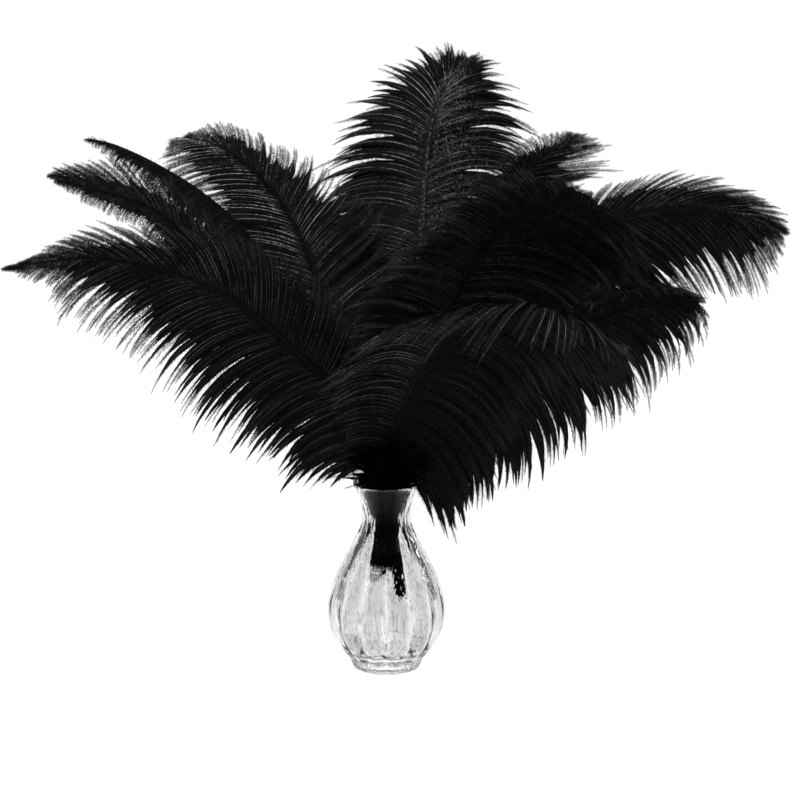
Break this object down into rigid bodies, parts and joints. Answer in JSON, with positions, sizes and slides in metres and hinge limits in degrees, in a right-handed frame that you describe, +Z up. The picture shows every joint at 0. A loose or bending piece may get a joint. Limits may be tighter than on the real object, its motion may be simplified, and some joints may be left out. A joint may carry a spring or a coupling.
{
  "type": "ostrich plumes in a bud vase",
  "caption": "Bunch of long soft ostrich plumes fanning out of a small ribbed clear bud vase; bare quills stand in the narrow neck and curved shafts carry drooping barbs.",
  "frame": {"origin": "middle of the vase's foot, on the surface it stands on", "axes": "+X to the right and +Y away from someone who looks at the bunch's front, +Z up"},
  "size_m": [0.4913, 0.3846, 0.3791],
  "materials": {
    "clear_glass": "polished",
    "black_feather": "satin"
  },
  "bodies": {
    "root": {"vase": "clear_glass", "feather_left_low": "black_feather", "feather_left_mid": "black_feather", "feather_left_high": "black_feather", "feather_upper_left": "black_feather", "feather_top": "black_feather", "feather_upper_right": "black_feather", "feather_right": "black_feather", "feather_centre": "black_feather", "feather_front": "black_feather", "feather_right_low": "black_feather"}
  },
  "joints": []
}
